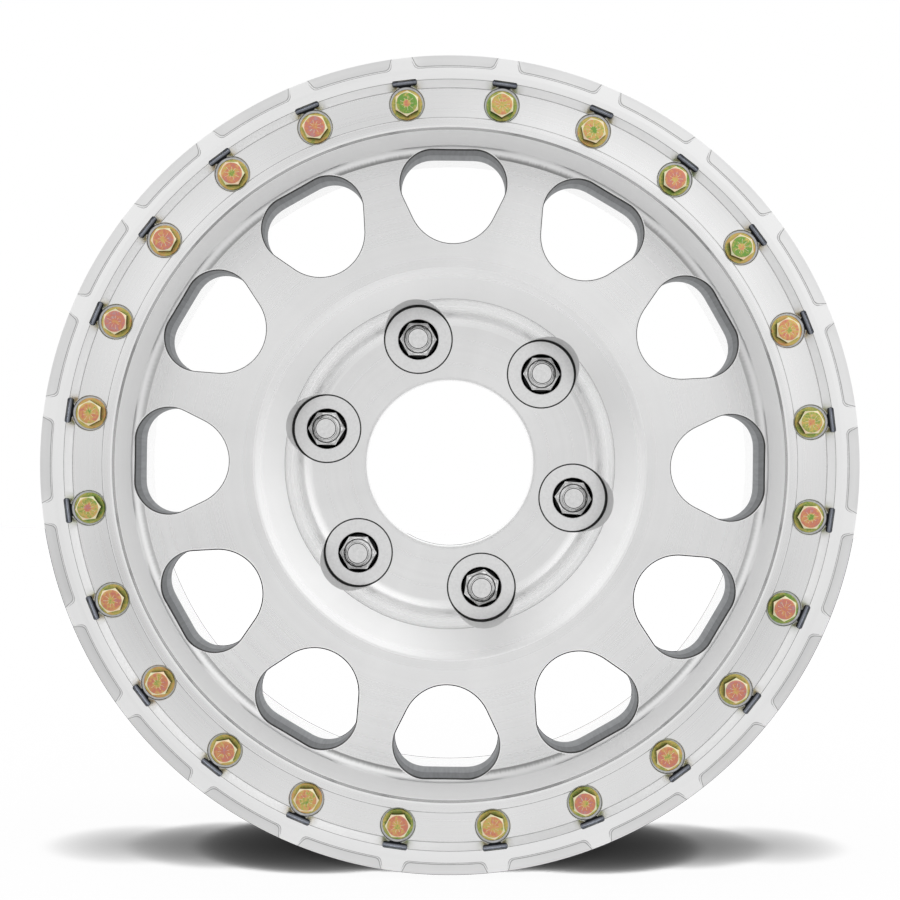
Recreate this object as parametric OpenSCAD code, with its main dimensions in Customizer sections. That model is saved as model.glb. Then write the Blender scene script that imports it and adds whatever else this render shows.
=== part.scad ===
// Forged wheel with a bolted bead ring, 17 by 9 inches, for six studs.
// Millimetres. The origin is the middle of the centre bore on the hub face.
// The axis lies along Y and the street side faces -Y, as the wheel sits on a standing car.
// Each piece is drawn with its axis along Z and its street side up, then set upright.

/* [Rim] */
// Diameter of both bead seats
bead_seat_d = 436.6; // [425:0.1:460]
// Width between the two bead faces
rim_w = 228.6; // [215:0.1:260]
// How far the middle of the rim lies in front of the hub face
rim_lead = 38; // [30:0.5:50]
// Depth of the drop well below the bead seats
well_depth = 21; // [19:0.5:24]
// Depth of the plain barrel below the bead seats
barrel_depth = 11.3; // [9:0.1:14]
// Wall thickness of the barrel
barrel_t = 6; // [5:0.1:8]
// Height of the inboard flange above the bead seat
flange_h = 17.3; // [14:0.1:20]
// Width of the inboard flange along the axis
flange_w = 12.5; // [11:0.1:16]
// Thickness of the inboard flange
flange_t = 6.5; // [5:0.1:8]
// Diameter of the valve hole in the barrel
valve_hole_d = 11.3; // [8.5:0.1:16]

/* [Outboard shoulder] */
// Height of the fixed flange that backs the outer tyre bead
backing_h = 9.7; // [7:0.1:12]
// Thickness of that flange
backing_t = 6; // [4:0.1:8]
// Room for the tyre bead between that flange and the bead ring
bead_room = 21.3; // [18:0.1:24]
// How far the lip bore lies outside the barrel's inner wall
lip_step = 0.7; // [0.5:0.1:2]
// Height of the pilot that centres the bead ring
pilot_h = 3.4; // [2:0.1:4]
// Wall thickness of that pilot
pilot_t = 3; // [2:0.1:3.4]

/* [Disc and windows] */
// How far the disc's face lies behind the bead ring's seat
face_setback = 51.5; // [46:0.5:58]
// How far the face falls from the lip to the hub bevel
face_fall = 6; // [2:0.5:10]
// Thickness of the disc at the barrel
disc_t_out = 39; // [34:0.5:44]
// Thickness of the disc at the hub bevel
disc_t_in = 24.5; // [20:0.5:30]
// Radius of the fillet between the face and the lip bore
lip_fillet = 6; // [3:0.5:9]
// Number of windows
window_count = 12; // [8:1:12]
// Length of a window along the wheel's radius
window_len = 56.5; // [50:0.5:60]
// Straight width of a window's outer edge
window_flat = 24.8; // [18:0.2:27]
// Radius of a window's two outer corners
window_corner_r = 20.25; // [14:0.25:22]
// Radius of a window's round inner end
window_nose_r = 27.5; // [23:0.25:29]
// How far the windows stop short of the barrel's inner wall
window_margin = 1; // [0.8:0.1:3]

/* [Hub] */
// Diameter of the centre bore
bore_d = 108; // [90:0.1:120]
// Chamfer at both ends of the centre bore
bore_chamfer = 1.5; // [0.5:0.1:3]
// Thickness of the hub pad
pad_t = 23; // [20:0.5:28]
// Number of lugs
lug_count = 6; // [5:1:8]
// Diameter of the lug circle
lug_circle_d = 165.1; // [160:0.1:172]
// How far the pad's flat floor reaches past the lug circle
floor_reach = 12; // [8:0.5:16]
// Depth of the hub recess, from its edge to the pad
recess_depth = 42; // [34:0.5:50]
// How much wider the recess is at its edge than at its floor, each side
recess_draft = 8.2; // [5:0.1:12]
// Radius of the fillet at the foot of the recess wall
recess_fillet = 7; // [3:0.5:9]
// Width of the bevel between the recess and the disc's face
bevel_w = 16.3; // [12:0.1:20]
// Wall thickness behind the recess
dish_t = 15; // [12:0.5:18]

/* [Lug holes and nuts] */
// Diameter of the stud hole through the pad
stud_hole_d = 16.5; // [15.5:0.1:18]
// Diameter of the mouth that takes the nut
nut_mouth_d = 25.9; // [25:0.1:30]
// Diameter of the spot face round a lug hole
spot_d = 44.6; // [38:0.1:48]
// Depth of that spot face
spot_depth = 0.7; // [0.3:0.1:1.5]
// Height of the straight stud hole under the cone seat
stud_land = 4; // [2.5:0.5:6]
// Diameter of the stud that the nut takes
stud_d = 14; // [12:0.1:14.5]
// Depth of the nut's blind bore
nut_bore_depth = 21.5; // [17:0.5:23]
// Width of the nut across its flats
nut_af = 20.6; // [19:0.1:21.6]
// Diameter of the nut's seat collar
nut_collar_d = 24; // [22:0.1:24.6]
// Height of the nut's collar above its cone
nut_collar_h = 3; // [2:0.5:4]
// Height of the nut's hexagon above the pad
nut_proud = 4.8; // [3:0.1:9]
// Height of the nut's closed dome above its hexagon
nut_dome_h = 5.4; // [4.5:0.1:8]

/* [Bead ring] */
// Height of the bead ring above the bead seat
ring_rise = 14.5; // [12:0.1:17]
// Thickness of the ring under its bolts
land_t = 10.8; // [9:0.1:14]
// Height of the ring's inner rim above the bolt land
inner_rim_h = 1.7; // [1:0.1:3]
// Width of that inner rim
inner_rim_w = 5.4; // [3:0.1:5.6]
// Height of the ring's crest above the bolt land
crest_h = 5.7; // [4.5:0.1:8]
// Width of the crest
crest_w = 3.5; // [2:0.1:4]
// Width of the step wall between the bolt land and the crest
step_w = 4.2; // [3:0.1:5]
// Fall from the crest to the ring's outer edge
outer_fall = 3.2; // [2:0.1:4.5]
// How far the ring's bead face stands in front of its seat
bead_step = 3.8; // [2.5:0.1:5]
// Depth of the lip that hooks over the tyre bead
hook_depth = 1.8; // [1:0.1:3]
// Width of that lip
hook_w = 3.3; // [2.5:0.1:4.5]
// Number of grip grooves in the bead face
grip_count = 3; // [0:1:4]
// Depth of a grip groove
grip_depth = 0.6; // [0.3:0.1:1]
// Width of the notches' floor across the ring's outer edge
notch_w = 7; // [5:0.1:8]
// Depth of a notch's floor below the crest
notch_depth = 3.5; // [3:0.1:5]
// Width of the tooth between two notches, at the notches' inner edge
tooth_w_in = 15; // [11:0.1:22]
// Width of that tooth at the ring's outer edge
tooth_w_out = 9.7; // [7:0.1:18]
// Radius of the round at the root of a tooth
tooth_root_r = 3.2; // [1:0.1:4]

/* [Ring bolts] */
// Number of ring bolts
bolt_count = 24; // [18:1:24]
// Distance from the lip bore to the bolt circle
bolt_inset = 14.4; // [14:0.1:16]
// Thread diameter of a bolt
bolt_d = 7.9; // [6:0.1:8]
// Length of a bolt under its head
bolt_l = 25.4; // [22:0.1:27]
// Width of a bolt's head across its flats
bolt_af = 12.7; // [11:0.1:13]
// Diameter of the flat on that head, inside its chamfer
bolt_crown_d = 10.7; // [9:0.1:12]
// Height of a bolt's head
bolt_head_h = 5.2; // [4:0.1:7]
// Outer diameter of a washer
washer_d = 17.5; // [15:0.1:18]
// Thickness of a washer
washer_t = 1.6; // [1:0.1:2.4]
// Diameter of the pocket round a washer
pocket_d = 20; // [19:0.1:20.6]
// How far the middle of that pocket lies outside the bolt circle
pocket_lead = 0.5; // [0:0.1:0.7]
// Depth of that pocket
pocket_depth = 1; // [0.5:0.1:2]
// Length of the milled relief slot outside a pocket
slot_l = 14.2; // [10:0.1:18]
// Width of that slot
slot_w = 3; // [2:0.1:3.4]
// How far that slot reaches into its pocket
slot_bite = 0.4; // [0.2:0.1:1]
// Outer diameter of a thread insert
insert_d = 10.5; // [10:0.1:12]
// Length of a thread insert
insert_l = 16; // [12:0.5:17]

/* [Hidden] */
$fn = 144;

// Running clearance round a bolt, a stud thread or an insert, on the diameter
fit_gap = 0.2;
// Clearance between a piece and the shoulder or cone that centres it
seat_gap = 0.3;
// Clearance hole of a bolt, over its thread diameter
bolt_room = 0.9;
// How far straight edges lie inside the rounds that they join, so that they cross cleanly
blend = 0.02;
// How far a cutter runs past the face that it opens
past = 10;
// Turn per step along a rounded corner, in degrees
round_step = 15;
// Share of an edge that the rounds at its two ends may take together
edge_share = 0.98;
// Half angle of a nut's cone seat
cone_half = 30;
// Chamfer angle of a hexagon's corners
hex_chamfer = 30;
// Small edge break on turned edges
edge = 0.8;

// Radii of the rim, all worked out from the bead seat
bead_r = bead_seat_d / 2;
well_r = bead_r - well_depth;
well_in_r = well_r - barrel_t;
barrel_r = bead_r - barrel_depth;
barrel_in_r = barrel_r - barrel_t;
lip_r = well_in_r + lip_step;
pilot_r = lip_r + pilot_t;
backing_r = bead_r + backing_h;
flange_r = bead_r + flange_h;
bolt_r = lip_r + bolt_inset;

// Heights of the rim above the hub face
clamp_z = rim_lead + rim_w / 2;
inboard_z = rim_lead - rim_w / 2;
seat_z = clamp_z - bead_step;
backing_z = clamp_z - bead_room;
face_z = seat_z - face_setback;
disc_back_z = face_z - disc_t_out;

// Inboard bead seat: width, fall of its taper, and the safety hump behind it
seat_w = 20.5;
seat_fall = 1.7;
hump_h = 1.3;
hump_w = 9.5;
ramp_w = 9;
flange_edge = 2.4;

// Drop well: its overlap past the disc's face and back, and the run of its slopes
well_over_face = 3;
well_over_back = 8;
well_slope = 12;

// Chamfer of the shoulder that the ring sits on, and the well's flank under the backing flange
shoulder_chamfer = 2.4;
flank_inset = 2;

// Rounds of the forging's back, from the hub to the inboard flange
dish_round = 10;
bevel_round = 8;
disc_foot_round = 5;
well_in_round = 6;
barrel_in_round = 8;
seat_back_round = 10;
flange_root_round = 3;

// Rounds of the rim's outer side, from the inboard flange to the outboard shoulder
flange_round = 8;
seat_root_round = 6.5;
hump_round = 3;
barrel_round = 6;
well_round = 10;
flank_round = 8;
backing_round = 2;

// Hub recess and bevel
lug_r = lug_circle_d / 2;
floor_r = lug_r + floor_reach;
recess_r = floor_r + recess_draft;
recess_z = pad_t + recess_depth;
bevel_r = recess_r + bevel_w;
bevel_z = face_z - face_fall;
pad_back_r = floor_r + 0.9 * dish_t;
pad_back_chamfer = 3;
dish_back_r = recess_r + dish_t;
dish_back_z = recess_z - 0.6 * dish_t;
disc_in_back_z = bevel_z - disc_t_in;
bevel_slope = (bevel_z - recess_z) / bevel_w;
bevel_back_r = dish_back_r + (disc_in_back_z - dish_back_z) / bevel_slope;

// Windows
window_top_r = well_in_r - window_margin;
window_corner_y = window_top_r - window_corner_r;
window_nose_y = window_top_r - window_len + window_nose_r;

// Lug holes and nuts
lug_turn = 180 / window_count;
spot_z = pad_t - spot_depth;
mouth_z = stud_land + (nut_mouth_d - stud_hole_d) / 2 / tan(cone_half);
nut_wall = 1.6;
nut_toe_r = stud_d / 2 + nut_wall;
nut_base_z = stud_land + seat_gap + (nut_toe_r - stud_hole_d / 2) / tan(cone_half);
nut_cone_h = (nut_collar_d / 2 - nut_toe_r) / tan(cone_half);
nut_hex_z = pad_t + nut_proud;
nut_crown_r = 0.86 * nut_af / 2;
nut_top_r = 0.68 * nut_af / 2;
nut_top_round = 2;
nut_turn = 22;

// Bead ring
ring_r = bead_r + ring_rise;
ring_bore_r = lip_r + fit_gap;
counterbore_r = pilot_r + seat_gap;
counterbore_h = pilot_h + seat_gap;
land_in_r = ring_bore_r + inner_rim_w;
land_w_out = 8.4;
land_out_r = bolt_r + land_w_out;
crest_out_r = land_out_r + step_w + crest_w;
crest_z = land_t + crest_h;
notch_in_r = ring_r - notch_w;
bead_face_r = bead_r - 1;
grip_pitch = 3;
grip_half_w = 1;
grip_in_r = bead_r + grip_half_w + 1;
step_round = 1.2;

// Ring bolts, with heights measured from the ring's seat
bolt_pitch = 360 / bolt_count;
pocket_r = bolt_r + pocket_lead;
slot_in_r = pocket_r + pocket_d / 2 - slot_bite;
pocket_z = land_t - pocket_depth;
head_z = pocket_z + washer_t;
tip_z = head_z - bolt_l;
insert_top = -0.5;
hole_spare = 1;
insert_hole_z = min(insert_top - insert_l, tip_z) - hole_spare;
bolt_turn = 17;

function unit(v) = v / norm(v);

function wrapped(a) = a > 180 ? a - 360 : a < -180 ? a + 360 : a;

// The points of a round of radius f at corner b, between the points a and c
function corner(a, b, c, f) =
    let (u = unit(a - b), v = unit(c - b), half = acos(u * v) / 2)
    let (middle = b + unit(u + v) * f / sin(half), reach = f / tan(half))
    let (p = b + u * reach - middle, q = b + v * reach - middle)
    let (start = atan2(p[1], p[0]), sweep = wrapped(atan2(q[1], q[0]) - start))
    let (steps = ceil(abs(sweep) / round_step))
    [for (i = [0:steps]) let (t = start + sweep * i / steps) middle + f * [cos(t), sin(t)]];

function flat(p) = [p[0], p[1]];

// How far a round of radius f at corner b reaches along its edges to the points a and c
function reach(a, b, c, f) = f / tan(acos(unit(a - b) * unit(c - b)) / 2);

// A profile whose points are [radius, height, round], with each corner rounded as it says,
// or by less where an edge is too short for the rounds at its two ends
function rounded(p) =
    let (n = len(p), q = [for (v = p) flat(v)])
    let (taken = [for (i = [0:n - 1]) reach(q[(i + n - 1) % n], q[i], q[(i + 1) % n], p[i][2])])
    let (room = [
        for (i = [0:n - 1])
            let (j = (i + 1) % n, both = taken[i] + taken[j])
            both > 0 ? min(1, edge_share * norm(q[j] - q[i]) / both) : 1
    ])
    [
        for (i = [0:n - 1])
            let (before = (i + n - 1) % n, f = p[i][2] * min(room[before], room[i]))
            each (f > 0 ? corner(q[before], q[i], q[(i + 1) % n], f) : [q[i]])
    ];

module upright() {
    rotate([90, 0, 0]) children();
}

// Children at equal steps round the axis, the first one turned from straight up
module around(count, first = 0) {
    for (i = [0:count - 1]) rotate([0, 0, first + i * 360 / count]) children();
}

// Section of the forging, from the bore along the back, round the rim and back over the face
function inboard_section() = [
    [bore_d / 2, bore_chamfer, 0],
    [bore_d / 2 + bore_chamfer, 0, 0],
    [pad_back_r - pad_back_chamfer, 0, 0],
    [pad_back_r, pad_back_chamfer, 0],
    [dish_back_r, dish_back_z, dish_round],
    [bevel_back_r, disc_in_back_z, bevel_round],
    [well_in_r, disc_back_z, disc_foot_round],
    [well_in_r, disc_back_z - well_over_back, well_in_round],
    [barrel_in_r, disc_back_z - well_over_back - well_slope, barrel_in_round],
    [barrel_in_r, inboard_z + seat_w + hump_w + ramp_w, seat_back_round],
    [bead_r - flange_t, inboard_z + seat_w, seat_back_round],
    [bead_r - flange_t, inboard_z - flange_t, flange_root_round],
    [flange_r - flange_t, inboard_z - flange_t, flange_root_round],
    [flange_r - flange_t, inboard_z - flange_w, flange_edge],
    [flange_r, inboard_z - flange_w, flange_edge]
];

function bead_section() = [
    [flange_r, inboard_z, flange_round],
    [bead_r, inboard_z, seat_root_round],
    [bead_r - seat_fall, inboard_z + seat_w, edge],
    [bead_r - seat_fall + hump_h, inboard_z + seat_w + hump_w / 2, hump_round],
    [bead_r - seat_fall - hump_h, inboard_z + seat_w + hump_w, hump_round],
    [barrel_r, inboard_z + seat_w + hump_w + ramp_w, barrel_round],
    [barrel_r, disc_back_z - well_over_back - well_slope, well_round],
    [well_r, disc_back_z - well_over_back, well_round],
    [well_r, face_z + well_over_face, flank_round],
    [bead_r - flank_inset, backing_z - backing_t - flank_inset, 2 * backing_round],
    [bead_r, backing_z - backing_t, edge],
    [backing_r, backing_z - backing_t, flange_edge],
    [backing_r, backing_z, flange_edge],
    [bead_r, backing_z, backing_round]
];

function face_section() = [
    [bead_r, seat_z - shoulder_chamfer, 0],
    [bead_r - shoulder_chamfer, seat_z, 0],
    [pilot_r, seat_z, 0],
    [pilot_r, seat_z + pilot_h, edge],
    [lip_r, seat_z + pilot_h, edge],
    [lip_r, face_z, lip_fillet],
    [bevel_r, bevel_z, 2 * edge],
    [recess_r, recess_z, edge],
    [floor_r, pad_t, recess_fillet],
    [bore_d / 2 + bore_chamfer, pad_t, 0],
    [bore_d / 2, pad_t - bore_chamfer, 0]
];

// Outline of one window, standing on the wheel's radius: a round nose, two round corners
// and the straight edges that touch them
module window_outline() {
    half = window_flat / 2;
    run = [half, window_corner_y - window_nose_y];
    lean = atan2(run[1], run[0]) - acos((window_nose_r - window_corner_r) / norm(run));
    side = [cos(lean), sin(lean)];
    nose = [0, window_nose_y] + (window_nose_r - blend) * side;
    shoulder = [half, window_corner_y] + (window_corner_r - blend) * side;
    top = window_top_r - blend;
    translate([0, window_nose_y]) circle(window_nose_r);
    for (s = [-1, 1]) translate([s * half, window_corner_y]) circle(window_corner_r);
    polygon([
        [-nose[0], nose[1]], nose, shoulder, [half, top],
        [-half, top], [-shoulder[0], shoulder[1]]
    ]);
}

module windows() {
    around(window_count)
        translate([0, 0, disc_back_z - past])
            linear_extrude(disc_t_out + past + lip_fillet + edge) window_outline();
}

// Stud hole, cone seat, nut mouth and spot face of every lug
module lug_holes() {
    around(lug_count, lug_turn)
        translate([0, lug_r, 0]) {
            translate([0, 0, -past]) cylinder(h = past + mouth_z, d = stud_hole_d);
            translate([0, 0, stud_land])
                cylinder(h = mouth_z - stud_land, d1 = stud_hole_d, d2 = nut_mouth_d);
            translate([0, 0, mouth_z]) cylinder(h = pad_t, d = nut_mouth_d);
            translate([0, 0, spot_z]) cylinder(h = bevel_z, d = spot_d);
        }
}

module insert_holes() {
    around(bolt_count, bolt_pitch / 2)
        translate([0, bolt_r, seat_z + insert_hole_z])
            cylinder(h = past - insert_hole_z, d = insert_d);
}

// The valve hole goes through the plain barrel behind a spoke
module valve_hole() {
    rotate([0, 0, lug_turn])
        translate([0, barrel_in_r - past, disc_back_z / 2])
            rotate([-90, 0, 0]) cylinder(h = barrel_t + 2 * past, d = valve_hole_d);
}

module wheel_forging() {
    color("gainsboro") upright() difference() {
        rotate_extrude()
            polygon(rounded(concat(inboard_section(), bead_section(), face_section())));
        windows();
        lug_holes();
        insert_holes();
        valve_hole();
    }
}

// Section of the bead ring, with heights from its seat: the seat and counterbore,
// the face from the bore to the outer edge, then the hook and the grooved bead face
function ring_section() = concat(
    [
        [bead_face_r, 0, 0],
        [counterbore_r, 0, 0],
        [counterbore_r, counterbore_h, 0],
        [ring_bore_r, counterbore_h, 0],
        [ring_bore_r, land_t + inner_rim_h, edge],
        [land_in_r, land_t + inner_rim_h, edge / 2],
        [land_in_r, land_t, 0],
        [land_out_r, land_t, edge],
        [land_out_r + step_w, crest_z, step_round],
        [crest_out_r, crest_z, edge],
        [ring_r, crest_z - outer_fall, edge],
        [ring_r, bead_step - hook_depth, step_round],
        [ring_r - hook_w, bead_step - hook_depth, edge],
        [ring_r - hook_w, bead_step, 0]
    ],
    [
        for (i = [grip_count - 1:-1:0])
            let (r = grip_in_r + (i + 0.5) * grip_pitch)
            each [
                [r + grip_half_w, bead_step, 0],
                [r, bead_step + grip_depth, 0],
                [r - grip_half_w, bead_step, 0]
            ]
    ],
    [[bead_face_r, bead_step, 0]]
);

// Outline of the tooth between two notches, standing on the wheel's radius, with the
// rounds that the cutter leaves at its root
module tooth() {
    lean = (tooth_w_in - tooth_w_out) / 2 / notch_w;
    in_half = tooth_w_in / 2 + lean * notch_w;
    out_half = tooth_w_out / 2 - lean * notch_w / 2;
    round_y = notch_in_r + tooth_root_r;
    round_x = tooth_w_in / 2 - lean * tooth_root_r + tooth_root_r * norm([1, lean]);
    foot = [round_x - tooth_root_r / norm([1, lean]), round_y - tooth_root_r * lean / norm([1, lean])];
    polygon([
        [-in_half, notch_in_r - notch_w], [in_half, notch_in_r - notch_w],
        [out_half, ring_r + notch_w / 2], [-out_half, ring_r + notch_w / 2]
    ]);
    for (s = [-1, 1])
        difference() {
            polygon([
                [0, notch_in_r - notch_w], [s * round_x, notch_in_r - notch_w],
                [s * round_x, round_y], [s * foot[0], foot[1]], [0, foot[1]]
            ]);
            translate([s * round_x, round_y]) circle(tooth_root_r + blend);
        }
}

// The band that the notches leave low, less the teeth that stand between them
module notches() {
    difference() {
        translate([0, 0, crest_z - notch_depth])
            rotate_extrude() translate([notch_in_r, 0]) square([2 * notch_w, past]);
        around(bolt_count, bolt_pitch / 2) linear_extrude(crest_z + 2 * past) tooth();
    }
}

// Clearance hole, washer pocket and relief slot of every ring bolt
module bolt_seats() {
    around(bolt_count, bolt_pitch / 2) {
        translate([0, bolt_r, -past]) cylinder(h = land_t + past, d = bolt_d + bolt_room);
        translate([0, pocket_r, pocket_z]) cylinder(h = past, d = pocket_d);
        translate([-slot_l / 2, slot_in_r, pocket_z]) cube([slot_l, slot_w, past]);
    }
}

module bead_ring() {
    color("whitesmoke") upright() translate([0, 0, seat_z]) difference() {
        rotate_extrude() polygon(rounded(ring_section()));
        notches();
        bolt_seats();
    }
}

// A hexagon of a given width across flats, with its top corners turned off to a circle
module hexagon(af, h, top_r) {
    corner_r = af / 2 / cos(30);
    intersection() {
        cylinder(h = h, r = corner_r, $fn = 6);
        cylinder(h = h, r1 = top_r + h / tan(hex_chamfer), r2 = top_r);
    }
}

module ring_bolts() {
    color("goldenrod") upright() translate([0, 0, seat_z])
        for (i = [0:bolt_count - 1])
            rotate([0, 0, (i + 0.5) * bolt_pitch]) translate([0, bolt_r, 0]) {
                translate([0, 0, head_z])
                    rotate([0, 0, i * bolt_turn]) hexagon(bolt_af, bolt_head_h, bolt_crown_d / 2);
                translate([0, 0, tip_z]) cylinder(h = bolt_l, d = bolt_d);
            }
}

module ring_washers() {
    color("darkkhaki") upright() around(bolt_count, bolt_pitch / 2)
        translate([0, bolt_r, seat_z + pocket_z]) difference() {
            cylinder(h = washer_t, d = washer_d);
            translate([0, 0, -past]) cylinder(h = washer_t + 2 * past, d = bolt_d + bolt_room);
        }
}

module thread_inserts() {
    color("dimgray") upright() around(bolt_count, bolt_pitch / 2)
        translate([0, bolt_r, seat_z + insert_top - insert_l]) difference() {
            cylinder(h = insert_l, d = insert_d - fit_gap);
            translate([0, 0, -past]) cylinder(h = insert_l + 2 * past, d = bolt_d + fit_gap);
        }
}

// Section of a closed nut without its hexagon: cone, collar, core and dome
function nut_section() = [
    [0, nut_base_z, 0],
    [nut_toe_r, nut_base_z, 0],
    [nut_collar_d / 2, nut_base_z + nut_cone_h, 0],
    [nut_collar_d / 2, nut_base_z + nut_cone_h + nut_collar_h, edge],
    [nut_crown_r, nut_base_z + nut_cone_h + nut_collar_h, 0],
    [nut_crown_r, nut_hex_z, 0],
    [nut_top_r, nut_hex_z + nut_dome_h, nut_top_round],
    [0, nut_hex_z + nut_dome_h, 0]
];

module lug_nuts() {
    hex_base = nut_base_z + nut_cone_h + nut_collar_h / 2;
    color("lightsteelblue") upright()
        for (i = [0:lug_count - 1])
            rotate([0, 0, lug_turn + i * 360 / lug_count]) translate([0, lug_r, 0])
                difference() {
                    union() {
                        rotate_extrude() polygon(rounded(nut_section()));
                        translate([0, 0, hex_base])
                            rotate([0, 0, i * nut_turn])
                                hexagon(nut_af, nut_hex_z - hex_base, nut_crown_r + edge / 4);
                    }
                    translate([0, 0, nut_base_z - past])
                        cylinder(h = nut_bore_depth + past, d = stud_d);
                }
}

wheel_forging();
bead_ring();
ring_bolts();
ring_washers();
thread_inserts();
lug_nuts();
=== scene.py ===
import random
from math import acos, atan2, ceil, cos, degrees, hypot, pi, radians, sin, tan

import bmesh
import bpy
from mathutils import Matrix, Vector


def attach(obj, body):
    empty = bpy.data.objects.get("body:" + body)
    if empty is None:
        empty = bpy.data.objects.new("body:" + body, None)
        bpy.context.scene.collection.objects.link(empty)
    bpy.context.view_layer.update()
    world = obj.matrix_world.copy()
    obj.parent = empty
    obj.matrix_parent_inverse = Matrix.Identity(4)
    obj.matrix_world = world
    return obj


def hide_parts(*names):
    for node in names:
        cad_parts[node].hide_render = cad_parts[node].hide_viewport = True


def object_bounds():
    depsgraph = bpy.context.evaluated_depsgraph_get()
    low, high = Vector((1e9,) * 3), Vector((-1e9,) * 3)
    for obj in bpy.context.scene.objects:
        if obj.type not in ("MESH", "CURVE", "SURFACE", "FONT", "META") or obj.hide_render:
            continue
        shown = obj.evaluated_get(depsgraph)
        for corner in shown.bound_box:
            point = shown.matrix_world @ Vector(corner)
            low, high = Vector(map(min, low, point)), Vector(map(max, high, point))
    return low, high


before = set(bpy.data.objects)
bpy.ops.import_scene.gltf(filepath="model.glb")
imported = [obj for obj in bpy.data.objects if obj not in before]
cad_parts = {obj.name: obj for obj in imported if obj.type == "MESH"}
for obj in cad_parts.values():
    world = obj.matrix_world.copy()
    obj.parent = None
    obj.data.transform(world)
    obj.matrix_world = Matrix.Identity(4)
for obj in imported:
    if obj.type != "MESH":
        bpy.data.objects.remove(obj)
cad_low, cad_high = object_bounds()

# Sizes are millimetres in the wheel's drawing frame: X right, Y up, Z towards the street side.
# The places of rings and holes repeat the construction model's values.
MM = 0.001
edge = 0.8

# Rim
bead_r = 218.3
well_r = bead_r - 21
well_in_r = well_r - 6
barrel_r = bead_r - 11.3
barrel_in_r = barrel_r - 6
lip_r = well_in_r + 0.7
pilot_r = lip_r + 3
pilot_h = 3.4
backing_r = bead_r + 9.7
flange_r = bead_r + 17.3
flange_w = 12.5
flange_t = 6.5
flange_edge = 2.4
clamp_z = 152.3
inboard_z = -76.3
seat_z = clamp_z - 3.8
backing_z = clamp_z - 21.3
backing_t = 6
seat_w = 20.5
seat_fall = 1.7
hump_h = 1.3
hump_w = 9.5
ramp_w = 9
shoulder_chamfer = 2.4

# Disc, bevel and hub
face_z = seat_z - 51.5
bevel_z = face_z - 6
disc_back_z = face_z - 39
disc_in_back_z = bevel_z - 24.5
lip_fillet = 6
bore_r = 54
bore_chamfer = 1.5
pad_t = 23
lug_count = 6
lug_r = 82.55
floor_r = lug_r + 12
recess_r = floor_r + 8.2
recess_z = pad_t + 42
recess_fillet = 7
bevel_r = recess_r + 16.3
dish_t = 15
pad_back_r = floor_r + 0.9 * dish_t
dish_back_r = recess_r + dish_t
dish_back_z = recess_z - 0.6 * dish_t
bevel_slope = (bevel_z - recess_z) / (bevel_r - recess_r)
bevel_back_r = dish_back_r + (disc_in_back_z - dish_back_z) / bevel_slope

# Windows, with the burr that narrows them; along their edges a dark painted shade line, a break, and a
# shallow band with a painted highlight
window_count = 12
window_flat = 24.8
window_corner_r = 20.25
window_nose_r = 27.5
window_top_r = well_in_r - 1
window_corner_y = window_top_r - window_corner_r
window_nose_y = window_top_r - 56.5 + window_nose_r
# Where the darker painted shade of a window wall's street-side part meets its lighter back part
window_middle_z = (face_z + disc_back_z) / 2
window_burr = 0.4
window_break = 0.45
window_line = 2.5
# The width and depth of the shallow band beside a window's edge that carries a painted highlight
highlight_band_w = 1.0
highlight_band_depth = 0.07

# Lug holes and nuts
lug_turn = 180 / window_count
stud_hole_r = 8.25
stud_land = 4
mouth_r = 12.95
mouth_z = stud_land + (mouth_r - stud_hole_r) / tan(radians(30))
spot_r = 22.3
spot_z = pad_t - 0.7
spot_groove_w = 0.8
spot_groove_lead = 0.6
spot_groove_depth = 0.25
# The height of the painted shade at the foot of the spot face's wall
spot_shade_h = 4
nut_af = 20.6
nut_collar_r = 12
nut_toe_r = 8.6
nut_base_z = stud_land + 0.3 + (nut_toe_r - stud_hole_r) / tan(radians(30))
nut_collar_z = nut_base_z + (nut_collar_r - nut_toe_r) / tan(radians(30))
nut_hex_foot_z = nut_collar_z + 3
nut_hex_z = pad_t + 4.8
nut_dome_h = 5.4
nut_crown_r = 0.86 * nut_af / 2
nut_top_r = 0.68 * nut_af / 2
nut_bore_r = 7
nut_bore_top = nut_base_z + 21.5
nut_break = 0.4
# nut_crown_line and nut_top_line are the widths of painted dark lines at the crown and round the top
nut_crown_line = 0.4
nut_dome_round = 0.5
nut_top_line = 0.5
# The angle at which each nut came to rest, for one of its corners
NUT_CORNERS = (0, 0, 0, 22, -4, 0)

# Bead ring, with heights from its seat
ring_r = bead_r + 14.5
ring_bore_r = lip_r + 0.2
counterbore_r = pilot_r + 0.3
counterbore_h = pilot_h + 0.3
land_t = 10.8
inner_rim_h = 1.7
land_in_r = ring_bore_r + 5.4
bolt_r = lip_r + 14.4
land_out_r = bolt_r + 8.4
step_w = 4.2
step_round = 1.2
crest_out_r = land_out_r + step_w + 3.5
crest_z = land_t + 5.7
outer_fall = 3.2
bead_step = 3.8
hook_depth = 1.8
hook_w = 3.3
notch_in_r = ring_r - 7
notch_z = crest_z - 3.5
notch_break = 0.5
# The painted soft shade line on a notch's floor: its edges, from the notch's wall, and the rise from one to
# the next
notch_line_in = -1.4
notch_line_out = -0.8
notch_line_rise = 0.004
tooth_w_in = 15
tooth_w_out = 9.7
tooth_root_r = 3.2

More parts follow.
